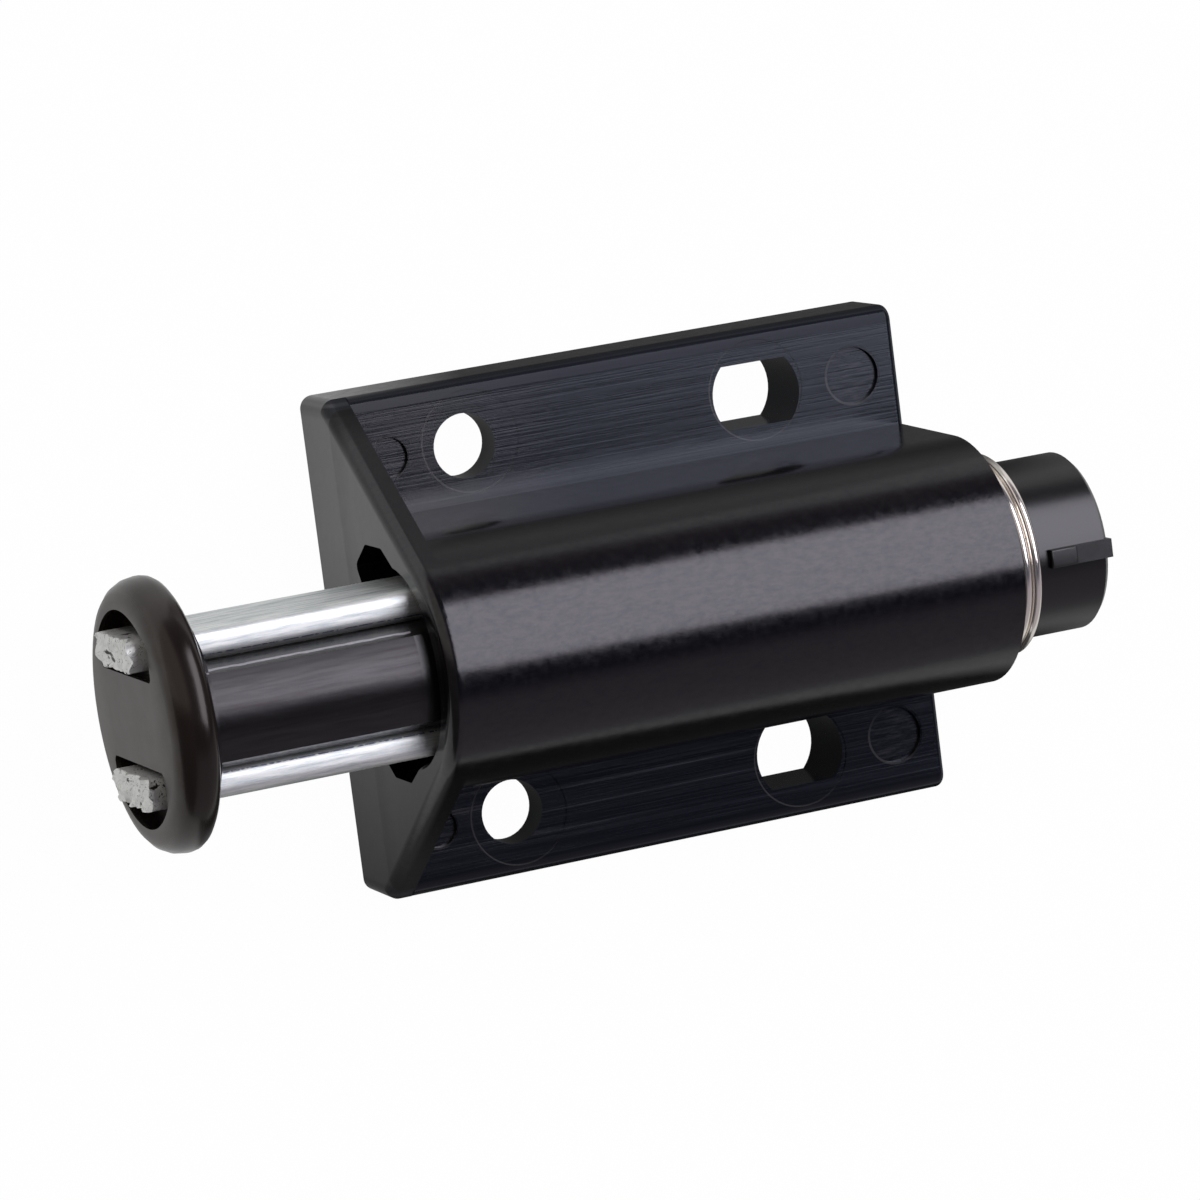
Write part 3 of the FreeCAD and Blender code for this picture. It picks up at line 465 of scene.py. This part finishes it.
for side in ("left", "right"):
    low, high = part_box("pole_bar_" + side)
    low, high = Vector(low), Vector(high)
    size = high - low
    bpy.ops.object.select_all(action="DESELECT")
    bpy.ops.mesh.primitive_cube_add(size=1.0, location=(low + high) / 2, scale=size)
    bar = bpy.context.object
    bar.name = "sheared_bar_" + side
    bpy.ops.object.transform_apply(location=True, rotation=True, scale=True)
    bpy.ops.object.mode_set(mode="EDIT")
    bpy.ops.mesh.select_mode(type="EDGE")
    bpy.ops.mesh.select_all(action="DESELECT")
    bpy.ops.object.mode_set(mode="OBJECT")
    for edge in bar.data.edges:
        first_x, last_x = [bar.data.vertices[i].co.x for i in edge.vertices]
        edge.select = abs(first_x - last_x) > size.x / 2
    bpy.ops.object.mode_set(mode="EDIT")
    bpy.ops.mesh.bevel(offset=edge_round, segments=6)
    cuts = [((0, low.y + size.y * step / strips_across, 0), (0, 1, 0))
            for step in range(1, strips_across)]
    cuts += [((0, 0, low.z + size.z * step / strips_up), (0, 0, 1))
             for step in range(1, strips_up)]
    cuts += [((low.x + ring_pitch * step, 0, 0), (1, 0, 0))
             for step in range(1, rings_at_end + 1)]
    for cut_place, cut_way in cuts:
        bpy.ops.mesh.select_all(action="SELECT")
        bpy.ops.mesh.bisect(plane_co=cut_place, plane_no=cut_way)
    bpy.ops.object.mode_set(mode="OBJECT")
    torn_end = bar.vertex_groups.new(name="torn_end")
    for vertex in bar.data.vertices:
        depth = (vertex.co.x - low.x) / torn_depth
        if depth < 1:
            torn_end.add([vertex.index], 1 - depth, "REPLACE")
    clods = bpy.data.textures.new("clods_" + side, "CLOUDS")
    clods.noise_scale = 1.0 * MM
    clods.noise_depth = 3
    clods.contrast = 1.7
    for direction, lift, middle_level in (("X", 0.75, 0.0), ("Y", 0.2, 0.5)):
        break_up = bar.modifiers.new("break_up_" + direction, "DISPLACE")
        break_up.texture = clods
        break_up.texture_coords = "LOCAL"
        break_up.direction = direction
        break_up.mid_level = middle_level
        break_up.strength = lift * MM
        break_up.vertex_group = "torn_end"
        bpy.ops.object.modifier_apply(modifier=break_up.name)
    bpy.ops.object.shade_smooth_by_angle(angle=math.radians(35))
    bar.data.materials.append(bar_zinc)
    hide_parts("pole_bar_" + side)
    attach(bar, "slider")

# Return spring. Bright nickel plated wire, coiled round the tail: one flat turn in front,
# open turns through the barrel and three close turns behind, which stand out of it.
wire_radius, coil_radius = 0.39 * MM, 7.42 * MM
close_pitch = 0.82 * MM
axis_height = 14.85 * MM
front_turns, open_turns, rear_turns = 1, 5, 3
nickel_white = (1.0, 0.94, 0.87)


def plain_finish(name, colour, metallic, roughness):
    """A finish with one colour and one gloss all over."""
    finish = bpy.data.materials.new(name)
    finish.use_nodes = True
    shader = finish.node_tree.nodes["Principled BSDF"].inputs
    shader["Base Color"].default_value = (*colour, 1)
    shader["Metallic"].default_value = metallic
    shader["Roughness"].default_value = roughness
    return finish


coil_low, coil_high = [Vector(corner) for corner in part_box("return_spring")]
start = coil_low.x + wire_radius
end = coil_high.x - wire_radius
open_pitch = (end - start - (front_turns + rear_turns) * close_pitch) / open_turns
coils = []
for turns, pitch in (
        (front_turns, close_pitch), (open_turns, open_pitch), (rear_turns, close_pitch)):
    bpy.ops.object.select_all(action="DESELECT")
    bpy.ops.mesh.primitive_circle_add(
        vertices=14, radius=wire_radius, location=(start, 0, axis_height - coil_radius),
        rotation=(math.radians(90), 0, 0))
    coil = bpy.context.object
    bpy.ops.object.transform_apply(location=True, rotation=True, scale=True)
    bpy.ops.transform.translate(value=(0, 0, -axis_height))
    bpy.ops.object.transform_apply(location=True, rotation=True, scale=True)
    winding = coil.modifiers.new("winding", "SCREW")
    winding.axis = "X"
    winding.angle = math.tau
    winding.steps = 96
    winding.screw_offset = pitch
    winding.iterations = turns
    winding.use_merge_vertices = False
    bpy.ops.object.modifier_apply(modifier="winding")
    bpy.ops.transform.translate(value=(0, 0, axis_height))
    bpy.ops.object.transform_apply(location=True, rotation=True, scale=True)
    coils.append(coil)
    start += turns * pitch
bpy.ops.object.select_all(action="DESELECT")
for coil in coils:
    coil.select_set(True)
spring = coils[0]
bpy.context.view_layer.objects.active = spring
bpy.ops.object.join()
spring.name = "round_wire_spring"
bpy.ops.object.mode_set(mode="EDIT")
bpy.ops.mesh.select_all(action="SELECT")
bpy.ops.mesh.remove_doubles(threshold=0.01 * MM)
bpy.ops.mesh.select_all(action="DESELECT")
bpy.ops.mesh.select_non_manifold()
bpy.ops.mesh.fill()
bpy.ops.mesh.select_all(action="SELECT")
bpy.ops.mesh.normals_make_consistent(inside=False)
bpy.ops.object.mode_set(mode="OBJECT")
bpy.ops.object.shade_smooth_by_angle(angle=math.radians(50))
nickel = plain_finish("spring_nickel_plate", nickel_white, metallic=0.92, roughness=0.16)
spring.data.materials.append(nickel)
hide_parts("return_spring")
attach(spring, "base")
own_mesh(spring)

# Cam follower. A bent wire in bright steel, hinged in the floor of the barrel. Its raised
# end runs in the track under the plunger.
steel_grey = (0.62, 0.62, 0.63)
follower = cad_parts["cam_follower"]
follower_steel = plain_finish("follower_steel", steel_grey, metallic=1.0, roughness=0.22)
follower.data.materials.clear()
follower.data.materials.append(follower_steel)

# Magnet. A block of pressed ferrite between the two pole bars, dark grey and dull. It is
# held in the neck of the plunger and never shows.
ferrite_grey = (0.045, 0.044, 0.045)
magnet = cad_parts["magnet"]
ferrite = plain_finish("pressed_ferrite", ferrite_grey, metallic=0.0, roughness=0.6)
magnet.data.materials.clear()
magnet.data.materials.append(ferrite)
